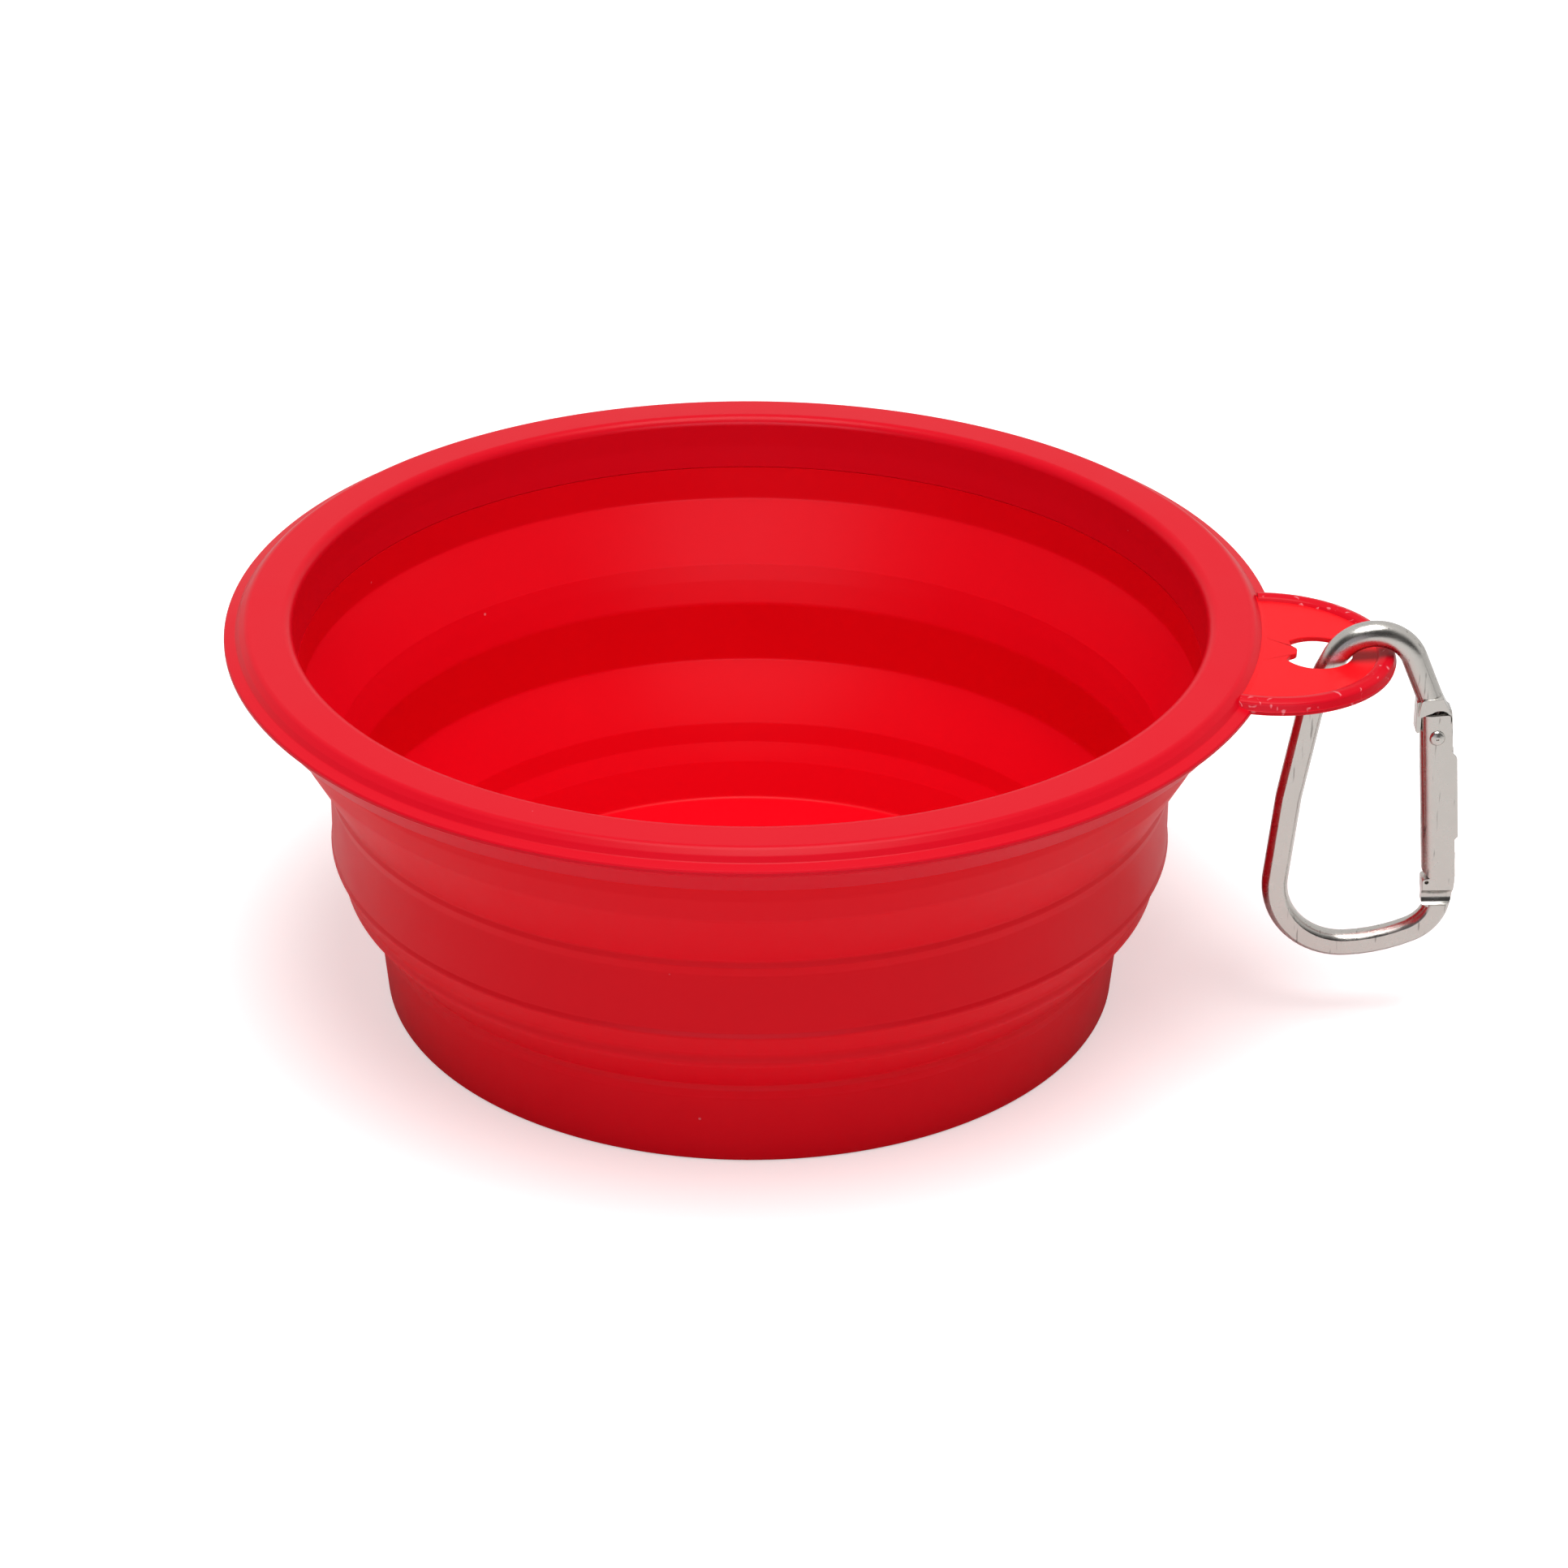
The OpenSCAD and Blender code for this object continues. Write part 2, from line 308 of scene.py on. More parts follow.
def slab(outline, low, high):
    """Fills a flat outline and extrudes it from one height to another."""
    begin()
    trace([Vector((p.x, p.y, low)) for p in outline], closed=True)
    bpy.ops.mesh.select_all(action="SELECT")
    bpy.ops.mesh.edge_face_add()
    bpy.ops.mesh.extrude_region_move(TRANSFORM_OT_translate={"value": (0, 0, high - low)})
    return tidy_surface()


def boss(centre, radius, low=-THROUGH, high=THROUGH, axis="Z", vertices=48):
    """A round bar, used to join on and to cut with."""
    begin()
    bpy.ops.mesh.primitive_cylinder_add(
        vertices=vertices, radius=radius, depth=high - low, location=(0, 0, (low + high) / 2))
    bar = bpy.context.object
    turn = {"Z": Matrix.Identity(4), "X": Matrix.Rotation(math.pi / 2, 4, "Y")}[axis]
    bar.matrix_world = Matrix.Translation(centre) @ turn @ bar.matrix_world
    bpy.ops.object.transform_apply(location=True, rotation=True, scale=True)
    return bar


def combine(piece, other, operation):
    """Joins, cuts or trims a piece with another solid, which is used up, and cleans the result."""
    begin()
    bpy.context.view_layer.objects.active = piece
    change = piece.modifiers.new("Combine", "BOOLEAN")
    change.operation = operation
    change.solver = "EXACT"
    change.object = other
    bpy.ops.object.modifier_apply(modifier=change.name)
    other.select_set(True)
    bpy.ops.object.delete()
    bpy.context.view_layer.objects.active = piece
    bpy.ops.object.mode_set(mode="EDIT")
    bpy.ops.mesh.select_all(action="SELECT")
    bpy.ops.mesh.remove_doubles(threshold=WELD)
    bpy.ops.mesh.dissolve_degenerate(threshold=WELD)
    bpy.ops.object.mode_set(mode="OBJECT")
    return piece


def soften(piece, width, angle=40, segments=3):
    """Breaks the sharp edges of a piece."""
    begin()
    bpy.context.view_layer.objects.active = piece
    change = piece.modifiers.new("Soften", "BEVEL")
    change.width = width
    change.segments = segments
    change.limit_method = "ANGLE"
    change.angle_limit = math.radians(angle)
    change.use_clamp_overlap = True
    bpy.ops.object.modifier_apply(modifier=change.name)
    return piece


def join(pieces):
    """Makes one object of several."""
    begin()
    for piece in pieces:
        piece.select_set(True)
    bpy.context.view_layer.objects.active = pieces[0]
    bpy.ops.object.join()
    return pieces[0]


def finish(piece, name, material, node, smooth=35):
    """Names a piece, gives it its finish and hides the CAD solid it stands for."""
    begin()
    piece.name = name
    piece.data.name = name
    piece.data.materials.clear()
    piece.data.materials.append(material)
    piece.select_set(True)
    bpy.context.view_layer.objects.active = piece
    bpy.ops.object.shade_smooth_by_angle(angle=math.radians(smooth))
    flat = piece.modifiers.new("Flat Faces", "WEIGHTED_NORMAL")
    flat.keep_sharp = True
    bpy.ops.object.modifier_apply(modifier=flat.name)
    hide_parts(node)
    return piece


# Materials


def add_node(tree, kind, inputs=None, **settings):
    """Adds a node, sets its properties, and sets or links its inputs."""
    made = tree.nodes.new(kind)
    for name, value in settings.items():
        setattr(made, name, value)
    for name, value in (inputs or {}).items():
        if isinstance(value, bpy.types.NodeSocket):
            tree.links.new(value, made.inputs[name])
        else:
            made.inputs[name].default_value = value
    return made


def start_material(name, **settings):
    """A new material with its tree, its shader and its object coordinates."""
    found = bpy.data.materials.get(name)
    if found:
        return found, None, None, None
    material = bpy.data.materials.new(name)
    material.use_nodes = True
    tree = material.node_tree
    shader = tree.nodes["Principled BSDF"]
    for key, value in settings.items():
        shader.inputs[key.replace("_", " ")].default_value = value
    where = add_node(tree, "ShaderNodeTexCoord").outputs["Object"]
    return material, tree, shader, where


def per_mm(size):
    """Texture scale at which one feature is the given number of millimetres wide."""
    return 1 / (size * MM)


def noise(tree, where, size, detail, distortion=0.0):
    """Noise with features of the given number of millimetres."""
    return add_node(tree, "ShaderNodeTexNoise", {
        "Vector": where, "Scale": per_mm(size), "Detail": detail, "Distortion": distortion}).outputs["Fac"]


def ramp(tree, value, start, end, first, last):
    """Goes from the first to the last value as its input goes from start to end."""
    return add_node(tree, "ShaderNodeMapRange", {
        "Value": value, "From Min": start, "From Max": end,
        "To Min": first, "To Max": last}).outputs["Result"]


def mix_colours(tree, amount, first, second):
    """Mixes two colours, each fixed or from a socket."""
    return add_node(tree, "ShaderNodeMix", {
        "Factor": amount, "A": first, "B": second}, data_type="RGBA").outputs["Result"]


def clouded(tree, pattern, colour, shade):
    """Varies a colour between a darker shade of it and itself."""
    darker = tuple(shade * c for c in colour[:3]) + (1,)
    return mix_colours(tree, pattern, darker, tuple(colour))


def dusted(tree, where, colour, spacing, core, amount):
    """Scatters pale specks of dust, one in each stretch of so many millimetres."""
    dust = add_node(tree, "ShaderNodeTexVoronoi", {"Vector": where, "Scale": per_mm(spacing)})
    speck = ramp(tree, dust.outputs["Distance"], core, 2 * core, amount, 0.0)
    return mix_colours(tree, speck, colour, linear("#F09AA4"))


def link_finish(tree, shader, colour, roughness, height=None, strength=0.0, depth=0.0):
    """Links a finish's colour, roughness and relief to its shader."""
    tree.links.new(colour, shader.inputs["Base Color"])
    tree.links.new(roughness, shader.inputs["Roughness"])
    if height:
        bump = add_node(tree, "ShaderNodeBump", {"Height": height, "Strength": strength, "Distance": depth})
        tree.links.new(bump.outputs["Normal"], shader.inputs["Normal"])


def moulded_silicone(colour):
    """Compression-moulded silicone rubber: satin, with a soft grain from the mould and stray dust."""
    material, tree, shader, where = start_material(
        "compression_moulded_silicone", IOR=1.41, Specular_IOR_Level=0.14)
    if tree is None:
        return material
    # Pigment mixed in by mill rolls leaves broad, faint clouds about 25 mm across
    tint = clouded(tree, noise(tree, where, 25, 2.0), colour, 0.94)
    # Dust specks about 0.3 mm wide, one in each 9 mm or so, cling to silicone
    dusty = dusted(tree, where, tint, 9, 0.013, 0.5)
    # Handling leaves the satin a little uneven over some 12 mm
    satin = ramp(tree, noise(tree, where, 12, 3.0), 0.3, 0.7, 0.34, 0.42)
    # The mould's blasted grain is about 0.1 mm; it is drawn at 0.35 mm so that it shows
    grain = noise(tree, where, 0.35, 2.0)
    link_finish(tree, shader, dusty, satin, grain, strength=0.05, depth=0.05 * MM)
    return material


def moulded_rim(colour, name="injection_moulded_polypropylene", rubbed=False):
    """Injection-moulded polypropylene: smoother and a little paler than the silicone."""
    material, tree, shader, where = start_material(name, IOR=1.49, Specular_IOR_Level=0.1)
    if tree is None:
        return material
    # Flow in the mould leaves faint clouds about 30 mm across; dust clings less than to silicone
    tint = clouded(tree, noise(tree, where, 30, 2.0), colour, 0.95)
    dusty = dusted(tree, where, tint, 8, 0.007, 0.4)
    if rubbed:
        # Knocks by the carabiner leave pale, curled scratches about 1.5 mm long on the bead
        knocks = noise(tree, where, 1.7, 1.0, distortion=1.5)
        dusty = mix_colours(tree, ramp(tree, knocks, 0.64, 0.7, 0.0, 0.45), dusty, linear("#FFB4BC"))
    satin = ramp(tree, noise(tree, where, 15, 3.0), 0.3, 0.7, 0.28, 0.35)
    # Slight waviness left by shrinkage as the hoop cools, some 6 mm from crest to crest
    sink = noise(tree, where, 6, 1.0)
    link_finish(tree, shader, dusty, satin, sink, strength=0.15, depth=0.04 * MM)
    return material


def tumbled_aluminium(colour):
    """Bare aluminium, bent, milled and tumbled: satin, with fine dents and short scuffs."""
    material, tree, shader, where = start_material("tumbled_bare_aluminium", Metallic=1.0)
    if tree is None:
        return material
    # Tumbling stones leave dull and bright patches about 2 mm across
    patches = noise(tree, where, 2, 4.0)
    tint = clouded(tree, patches, colour, 0.86)
    # Scuffs: narrow dark marks up to 0.5 mm wide, drawn out along the height
    along = add_node(tree, "ShaderNodeMapping", {"Vector": where, "Scale": (1, 1, 0.1)})
    marks = noise(tree, along.outputs["Vector"], 0.5, 2.0)
    scuffed = mix_colours(tree, ramp(tree, marks, 0.66, 0.72, 0.0, 0.6), tint, linear("#6E6A66"))
    satin = ramp(tree, patches, 0.3, 0.7, 0.2, 0.32)
    # Polishing lines run round the rod; they are 0.1 mm apart and drawn at 0.4 mm so that they show
    lines = add_node(tree, "ShaderNodeMapping", {"Vector": where, "Scale": (0.15, 0.15, 1)})
    brush = noise(tree, lines.outputs["Vector"], 0.4, 3.0)
    link_finish(tree, shader, scuffed, satin, brush, strength=0.3, depth=0.02 * MM)
    return material


def drawn_spring_wire(colour):
    """Hard-drawn spring steel wire: grey, mottled by the drawing die."""
    material, tree, shader, where = start_material("drawn_spring_steel", Metallic=1.0)
    if tree is None:
        return material
    marks = noise(tree, where, 0.3, 3.0)
    link_finish(tree, shader, clouded(tree, marks, colour, 0.7), ramp(tree, marks, 0.0, 1.0, 0.3, 0.5))
    return material


# The bowl's sections, as (radius, height) points


def measured_from(across, up, corners):
    """Corners (across, up, radius) that are given in millimetres from a point."""
    return [(across + x * MM, up + y * MM, r * MM) for x, y, r in corners]


def outer_line(size):
    """The bowl's outside from the centre of the underside up to the rim."""
    base, ring, rim = size.base_radius, size.ring_radius, size.rim_radius
    return round_corners(
        [(0, 0, 0)]
        + measured_from(base, 0, [(-1.15, 0, 0.7)])
        + measured_from(base, size.base_top, [(-0.3, -1.6, 2.0), (0, -0.35, 0.5), (-0.15, 0.45, 0.5)])
        + measured_from(ring, size.base_top, [(-1.4, 5.7, 1.2), (-1.65, 6.9, 1.5)])
        + measured_from(ring, size.ring_bottom, [(0, 0.15, 0.6), (-0.22, 0.85, 0.5)])
        + measured_from(ring, size.ring_top, [(-0.25, -1.5, 2.0), (0, -0.35, 0.5), (-0.15, 0.45, 0.6)])
        + measured_from(rim, size.fold_top, [(-7.7, -2, 2.5), (-6.8, 1.2, 3.0)])
        + measured_from(rim, size.rim_top, [(-6.4, -6.75, 0.3), (-6.3, -6.1, 0)]))


def inner_line(size):
    """The bowl's inside from the middle of the floor up to the rim."""
    base, ring, rim = size.base_radius, size.ring_radius, size.rim_radius
    floor = 1.5 * MM
    return round_corners(
        [(0, floor, 0)]
        + measured_from(base, floor, [(-5.4, 0, 0.6), (-4.4, 2.9, 2.0)])
        + measured_from(base, size.base_top, [(-3.7, -4.8, 1.4), (-2.4, -2.4, 0.9), (-1.7, 0.2, 1.2)])
        + measured_from(ring, size.base_top, [(-2.7, 7.8, 0.9)])
        + measured_from(ring, size.ring_top, [(-2.7, -4.0, 2.5), (-1.8, -0.9, 0.6), (-1.1, 1.2, 0.7)])
        + measured_from(rim, size.fold_top, [(-8.9, -1.1, 1.0)])
        + measured_from(rim, size.rim_top, [(-8.72, -7.25, 0)]))


def wall_section(size, low, high):
    """Closed section of the silicone wall between two heights."""
    return between(outer_line(size), low, high) + between(inner_line(size), low, high)[::-1]


def cup_section(size):
    """Section of the base cup, from the underside's centre round its wall to the floor's."""
    sides = []
    for line in (outer_line(size), inner_line(size)):
        below = [p for p in line if p.y < size.base_top]
        sides.append(below + between(line, size.base_top - 0.01 * MM, size.base_top)[-1:])
    outside, inside = sides
    return outside + inside[::-1]


def finish_silicone(piece, node, context):
    """Finishes a zone of the silicone moulding."""
    material = moulded_silicone(context.scene.bowl_colours.silicone)
    finish(piece, node + "_silicone", material, node)


class BowlOperator:
    """Shared settings of the operators below."""

    bl_options = {"REGISTER", "UNDO"}


class TRAVELBOWL_OT_base_cup(BowlOperator, bpy.types.Operator):
    """Base cup with its flat floor"""

    bl_idname = "travelbowl.base_cup"
    bl_label = "Base Cup"

    def execute(self, context):
        piece = revolve(cup_section(context.scene.bowl_sizes), closed=False)
        finish_silicone(piece, "base_cup", context)
        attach(piece, "base")
        return {"FINISHED"}


class TRAVELBOWL_OT_lower_fold(BowlOperator, bpy.types.Operator):
    """Lower fold, the thin web that rolls over as the base rises"""

    bl_idname = "travelbowl.lower_fold"
    bl_label = "Lower Fold"

    def execute(self, context):
        size = context.scene.bowl_sizes
        piece = revolve(wall_section(size, size.base_top, size.ring_bottom), closed=True)
        finish_silicone(piece, "lower_fold", context)
        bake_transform(piece)
        return {"FINISHED"}


class TRAVELBOWL_OT_middle_ring(BowlOperator, bpy.types.Operator):
    """Middle ring, a stiff band between the two folds"""

    bl_idname = "travelbowl.middle_ring"
    bl_label = "Middle Ring"

    def execute(self, context):
        size = context.scene.bowl_sizes
        piece = revolve(wall_section(size, size.ring_bottom, size.ring_top), closed=True)
        finish_silicone(piece, "middle_ring", context)
        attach(piece, "middle")
        return {"FINISHED"}


class TRAVELBOWL_OT_upper_fold(BowlOperator, bpy.types.Operator):
    """Upper fold, the thin web that rolls over as the middle ring rises"""

    bl_idname = "travelbowl.upper_fold"
    bl_label = "Upper Fold"

    def execute(self, context):
        size = context.scene.bowl_sizes
        piece = revolve(wall_section(size, size.ring_top, size.fold_top), closed=True)
        finish_silicone(piece, "upper_fold", context)
        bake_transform(piece)
        return {"FINISHED"}


class TRAVELBOWL_OT_upper_ring(BowlOperator, bpy.types.Operator):
    """Upper ring, with the edge bead that the rim hoop is bonded round"""

    bl_idname = "travelbowl.upper_ring"
    bl_label = "Upper Ring"

    def execute(self, context):
        size = context.scene.bowl_sizes
        low, top = size.fold_top, size.rim_top
        edge_bead = [Vector((x, y)) for x, y, _ in measured_from(size.rim_radius, top, [
            (-5.45, -5.7, 0), (-5.45, -2.05, 0), (-7.55, -2.05, 0), (-7.55, -7.25, 0)])]
        section = between(outer_line(size), low, top) + edge_bead + between(inner_line(size), low, top)[::-1]
        piece = revolve(section, closed=True)
        finish_silicone(piece, "upper_ring", context)
        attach(piece, "rim")
        return {"FINISHED"}


class TRAVELBOWL_OT_rim_hoop(BowlOperator, bpy.types.Operator):
    """Rim hoop: flat top, rounded lip, skirt and inner liner"""

    bl_idname = "travelbowl.rim_hoop"
    bl_label = "Rim Hoop"

    def execute(self, context):
        size = context.scene.bowl_sizes
        # From the liner's lower edge through the groove and the skirt to the lip and the flat top
        section = round_corners(measured_from(size.rim_radius, size.rim_top, [
            (-8.7, -7.2, 0.08), (-7.6, -7.2, 0.1), (-7.6, -2.0, 0.1), (-5.35, -2.0, 0.1),
            (-5.35, -5.8, 0.1), (-4.6, -6.1, 0.3), (-3.7, -6.12, 0.3), (-3.05, -5.8, 0.3),
            (-0.85, -2.75, 0.25), (-0.3, -2.55, 0.15), (0, -2.25, 0.1), (0, -1.9, 0.06),
            (-0.15, -1.72, 0.08), (-1.4, -1.38, 0.35), (-1.9, -0.74, 1.0), (-2.75, 0, 1.1),
            (-8.4, 0, 1.3), (-8.5, -4.0, 3.0)]), closed=True)
        piece = revolve(section, closed=True, steps=240)
        material = moulded_rim(context.scene.bowl_colours.rim)
        finish(piece, "rim_hoop_shell", material, "rim_hoop")
        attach(piece, "rim")
        return {"FINISHED"}


class TRAVELBOWL_OT_tab(BowlOperator, bpy.types.Operator):
    """Hanging tab: thin plate, raised bead round its edge, and the shaped hole"""

    bl_idname = "travelbowl.tab"
    bl_label = "Hanging Tab"

    # The plate's edge and its hole need as many points as each other, to be bridged
    loop_points = 180
    bead_width = 2.5 * MM

    def plate_outline(self, centre, radius, inside):
        """The plate's edge: an arc round the tab's end, closed by an arc inside the hoop."""
        reach = math.acos((inside ** 2 - centre ** 2 - radius ** 2) / (2 * centre * radius))
        width = math.atan2(radius * math.sin(reach), centre + radius * math.cos(reach))
        steps = 64
        line = []
        for k in range(-steps, steps + 1):
            angle = reach * k / steps
            line.append(Vector((centre + radius * math.cos(angle), radius * math.sin(angle))))
        for k in range(steps - 1, -steps, -1):
            angle = width * k / steps
            line.append(Vector((inside * math.cos(angle), inside * math.sin(angle))))
        return line[steps:] + line[:steps]

    def hole_outline(self, centre, radius):
        """A round hole, cut flat towards the bowl, with a small round bump in the flat."""
        flat = 3.5 * MM
        reach = math.acos(-flat / radius)
        steps = 40
        arc = []
        for k in range(steps):
            angle = reach * k / steps
            arc.append((centre + radius * math.cos(angle), radius * math.sin(angle), 0))
        left = centre - flat
        corner = radius * math.sin(reach)
        upper = measured_from(left, corner, [(-0.1, 0.1, 0.4)])
        upper += measured_from(left, 0, [(0.3, 1.3, 0.8), (1.05, 0.75, 0.7)])
        lower = [(x, -y, r) for x, y, r in upper[::-1]]
        outline = arc + upper + lower + [(x, -y, r) for x, y, r in arc[:0:-1]]
        return round_corners(outline, closed=True)

    def plate(self, size, centre, low, thickness):
        """Flat plate between its edge and the hole."""
        begin()
        edge = self.plate_outline(centre, size.tab_radius - 0.9 * MM, size.rim_radius - 2.6 * MM)
        hole = self.hole_outline(centre + 5.9 * MM, 4.3 * MM)
        for outline in (edge, hole):
            spaced = resample(outline, self.loop_points)
            trace([Vector((p.x, p.y, low)) for p in spaced], closed=True)
        bpy.ops.mesh.select_all(action="SELECT")
        bpy.ops.mesh.bridge_edge_loops()
        bpy.ops.mesh.select_all(action="SELECT")
        bpy.ops.mesh.extrude_region_move(TRANSFORM_OT_translate={"value": (0, 0, thickness)})
        return soften(tidy_surface(), 0.14 * MM)

    def bead(self, size, centre):
        """Raised bead, with the fine ridge of the mould's parting line on its outer face."""
        outer = size.tab_radius
        low = size.rim_top - 2.25 * MM
        width = self.bead_width / MM
        section = round_corners(
            measured_from(outer, low, [
                (-width, 0, 0.1), (-0.05, 0, 0.2), (-0.02, 0.5, 0.03), (0.05, 0.56, 0.02),
                (-0.03, 0.62, 0.03)])
            + measured_from(outer, low + 1.9 * MM, [
                (-0.25, -0.35, 0.5), (-1.15, 0, 0.8), (-2.05, -0.2, 0.5), (-width, -0.75, 0.4)]), closed=True)
        # The bead's ends are hidden in the hoop's lip
        middle = outer - self.bead_width / 2
        inside = size.rim_radius - 1.6 * MM
        reach = math.acos((inside ** 2 - centre ** 2 - middle ** 2) / (2 * centre * middle))
        sweep(section, reach, 96)
        bpy.ops.mesh.select_all(action="SELECT")
        bpy.ops.transform.translate(value=(centre, 0, 0))
        return tidy_surface()

    def fillet(self, size, plate_high):
        """Concave root where the plate grows out of the hoop's lip."""
        root = size.rim_radius - 1.95 * MM
        section = round_corners(measured_from(root, plate_high, [
            (-1.2, -0.3, 0), (0.75, -0.3, 0), (0.7, 0.01, 0.05), (0.05, 0.08, 0.5), (-0.25, 0.45, 0)]),
            closed=True)
        sweep(section, math.asin((size.tab_radius - self.bead_width * 0.8) / root), 48)
        return tidy_surface()

    def execute(self, context):
        size, colours = context.scene.bowl_sizes, context.scene.bowl_colours
        centre = size.tab_tip - size.tab_radius
        plate_high = size.rim_top - 0.95 * MM
        thickness = 0.7 * MM
        plate = self.plate(size, centre, plate_high - thickness, thickness)
        bead = self.bead(size, centre)
        plate = join([plate, self.fillet(size, plate_high)])
        # The plate's brighter colour is painted light, for the light that passes through the thin plate
        material = moulded_rim(colours.plate, "thin_polypropylene_plate_painted_glow")
        finish(plate, "hanging_tab_plate", material, "rim_hoop")
        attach(plate, "rim")
        material = moulded_rim(colours.rim, "rubbed_polypropylene_bead", rubbed=True)
        finish(bead, "hanging_tab_bead", material, "rim_hoop")
        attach(bead, "rim")
        return {"FINISHED"}


# The carabiner is drawn flat, X from spine to gate and Y up, then stood in its place

GATE_TILT = math.radians(4.8)
ARCH_RADIUS = 5.35 * MM
ARCH_LEAN = math.radians(65)
# Half the thickness of the tongues that fit between the gate's cheeks
TONGUE = 1.15 * MM


def stand_up(piece, context):
    """Moves a piece from the flat drawing to the carabiner's place on the tab."""
    yaw = context.scene.carabiner_sizes.yaw
    strip = context.scene.bowl_sizes.rim_radius + 12 * MM
    place = Matrix.Translation((strip, 0, 0)) @ Matrix.Rotation(yaw, 4, "Z") @ Matrix.Rotation(
        math.pi / 2, 4, "X")
    piece.data.transform(place)


def swing_height(context):
    """Height of the middle of the arch, on which the carabiner swings."""
    return context.scene.bowl_sizes.rim_top - 3.15 * MM


def gate_pivot(context):
    """The gate's pivot in the flat drawing."""
    return Vector((8.2 * MM, swing_height(context) - 8.2 * MM, 0))


def set_on_gate(piece, context):
    """Moves a piece drawn along the gate, from its pivot, to its place."""
    place = Matrix.Translation(gate_pivot(context)) @ Matrix.Rotation(GATE_TILT, 4, "Z")
    piece.data.transform(place)
    stand_up(piece, context)


class TRAVELBOWL_OT_carabiner_frame(BowlOperator, bpy.types.Operator):
    """Carabiner frame: a bent rod, pressed flat below its arch and milled at both ends"""

    bl_idname = "travelbowl.carabiner_frame"
    bl_label = "Carabiner Frame"

    # Points round a quarter of the section, close together where a pressed flat meets the round
    section_angles = (0, 7, 11, 15, 22, 29, 36, 43, 50, 54.6, 56.4, 58.2, 66, 78)

    def pressed_reach(self, angle, rod, flats, amount):
        """Distance from the rod's centre to its surface, from round (0) to pressed (1)."""
        side = rod / 2
        across = side / max(abs(math.cos(angle)), 1e-6)
        through = flats / 2 / max(abs(math.sin(angle)), 1e-6)
        return side + (min(across, through, 1.015 * side) - side) * amount

    def shape_ring(self, middle, heading, size, amount):
        """Presses the selected ring of the rod to its section."""
        across = Vector((-math.sin(heading), math.cos(heading), 0))
        mesh = bmesh.from_edit_mesh(bpy.context.object.data)
        for vertex in mesh.verts:
            if not vertex.select:
                continue
            arm = vertex.co - middle
            angle = math.atan2(arm.z, arm.dot(across))
            reach = self.pressed_reach(angle, size.rod, size.flats, amount)
            vertex.co = middle + (across * math.cos(angle) + Vector((0, 0, math.sin(angle)))) * reach
        bmesh.update_edit_mesh(bpy.context.object.data)

    def bend(self, middle, heading, path, context):
        """Extrudes and spins the selected ring along a path of arcs and straights."""
        size = context.scene.carabiner_sizes
        full_press = swing_height(context) - 9 * MM
        no_press = swing_height(context) + 1 * MM
        for radius, amount in path:
            steps = max(1, math.ceil(abs(amount) / math.radians(5))) if radius else 8
            step = amount / steps
            for _ in range(steps):
                if radius:
                    side = math.copysign(1, amount)
                    pivot = middle + radius * side * Vector((-math.sin(heading), math.cos(heading), 0))
                    spin(step, 1, pivot)
                    middle = pivot + Matrix.Rotation(step, 3, "Z") @ (middle - pivot)
                    heading += step
                else:
                    ahead = Vector((math.cos(heading), math.sin(heading), 0)) * step
                    bpy.ops.mesh.extrude_region_move(TRANSFORM_OT_translate={"value": ahead})
                    middle = middle + ahead
                pressed = min(1, max(0, (no_press - middle.y) / (no_press - full_press)))
                self.shape_ring(middle, heading, size, pressed)
        return middle

    def rod_along(self, middle, heading, path, context):
        """A capped rod that follows a path, and the middle of its far end."""
        across = Vector((-math.sin(heading), math.cos(heading), 0))
        quarter = [math.radians(a) for a in self.section_angles]
        half = quarter + [math.pi / 2] + [math.pi - a for a in quarter[:0:-1]] + [math.pi]
        ring = []
        for angle in half + [a + math.pi for a in half[1:-1]]:
            arm = across * math.cos(angle) + Vector((0, 0, math.sin(angle)))
            ring.append(middle + arm * context.scene.carabiner_sizes.rod / 2)
        begin()
        trace(ring, closed=True)
        bpy.ops.mesh.select_all(action="SELECT")
        end = self.bend(middle, heading, path, context)
        bpy.ops.mesh.edge_face_add()
        select_near(ring)
        bpy.ops.mesh.edge_face_add()
        return tidy_surface(), end

    def milled(self, origin, corners, half, edge=0.08):
        """A flat solid as far to each side of the rod's plane, its corners in millimetres from a point."""
        outline = round_corners(measured_from(origin.x, origin.y, corners), closed=True)
        return soften(slab(outline, -half, half), edge * MM, angle=50, segments=2)

    def execute(self, context):
        size = context.scene.carabiner_sizes
        turn = math.radians
        lean = ARCH_LEAN
        foot = Vector((ARCH_RADIUS * math.sin(lean), swing_height(context) + ARCH_RADIUS * math.cos(lean), 0))
        drop, drop_turn = 80 * MM, turn(4.6)
        centre = foot - drop * Vector((math.sin(lean), math.cos(lean), 0))
        start = centre + Matrix.Rotation(-drop_turn, 3, "Z") @ (foot - centre)
        # Radius and turn of each bend: drop from the gate's hinge, arch, shoulder, spine, lower
        # corner, foot and corner below the gate, then a straight of 1.2 mm to the nose
        path = [
            (drop, drop_turn), (ARCH_RADIUS, lean + turn(63)), (30 * MM, turn(15.9)), (size.spine, turn(8)),
            (9 * MM, turn(95.1)), (21.5 * MM, turn(22.3)), (5.5 * MM, turn(60.5)), (0, 1.2 * MM)]
        piece, nose = self.rod_along(start, math.pi - lean - drop_turn, path, context)

        pivot = gate_pivot(context)
        block = self.milled(pivot, [
            (-2.2, 5.1, 0.4), (0.4, 5.45, 0.3), (1.5, 3.3, 0.4), (1.85, 2.8, 0.2), (-2.55, 2.8, 0.2)],
            size.rod / 2 + 0.12 * MM, edge=0.12)
        piece = combine(piece, block, "UNION")
